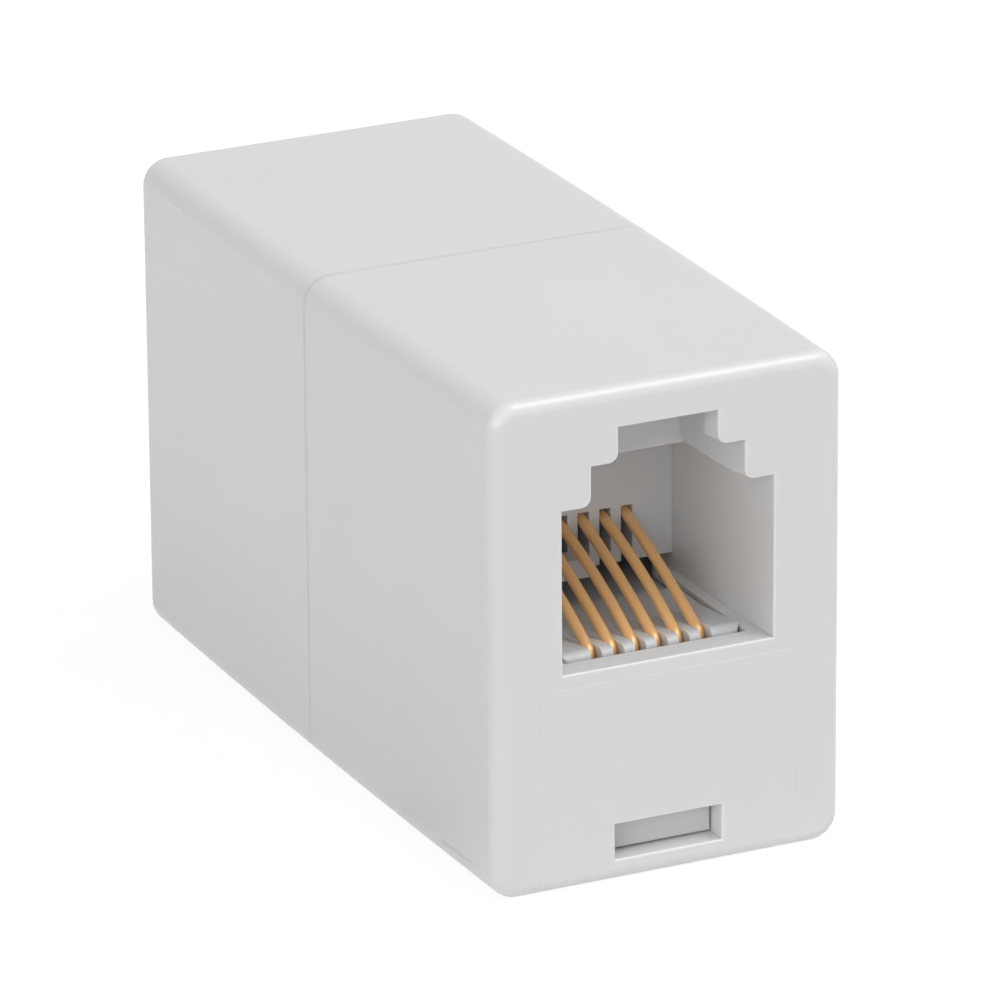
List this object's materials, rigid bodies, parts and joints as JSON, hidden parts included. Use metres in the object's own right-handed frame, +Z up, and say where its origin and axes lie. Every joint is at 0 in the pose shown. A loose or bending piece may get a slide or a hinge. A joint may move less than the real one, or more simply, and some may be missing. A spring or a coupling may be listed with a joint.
{
  "type": "telephone coupler",
  "caption": "Inline telephone coupler: small white moulded body with a modular jack in each end, latch keyways, gold spring contact wires and guide combs, to join two line cords.",
  "frame": {"origin": "middle of the body's underside", "axes": "+Y along the body from the front jack to the rear jack, +X across the jacks, +Z up from the contact side to the latch side"},
  "size_m": [0.0166, 0.0362, 0.022],
  "materials": {
    "housing": "satin",
    "contact_carrier": "satin",
    "contact_wire": "polished"
  },
  "bodies": {
    "root": {"front_housing": "housing", "rear_housing": "housing", "front_contact_block": "contact_carrier", "rear_contact_block": "contact_carrier", "contact_wire_1": "contact_wire", "contact_wire_2": "contact_wire", "contact_wire_3": "contact_wire", "contact_wire_4": "contact_wire", "contact_wire_5": "contact_wire", "contact_wire_6": "contact_wire"}
  },
  "joints": []
}
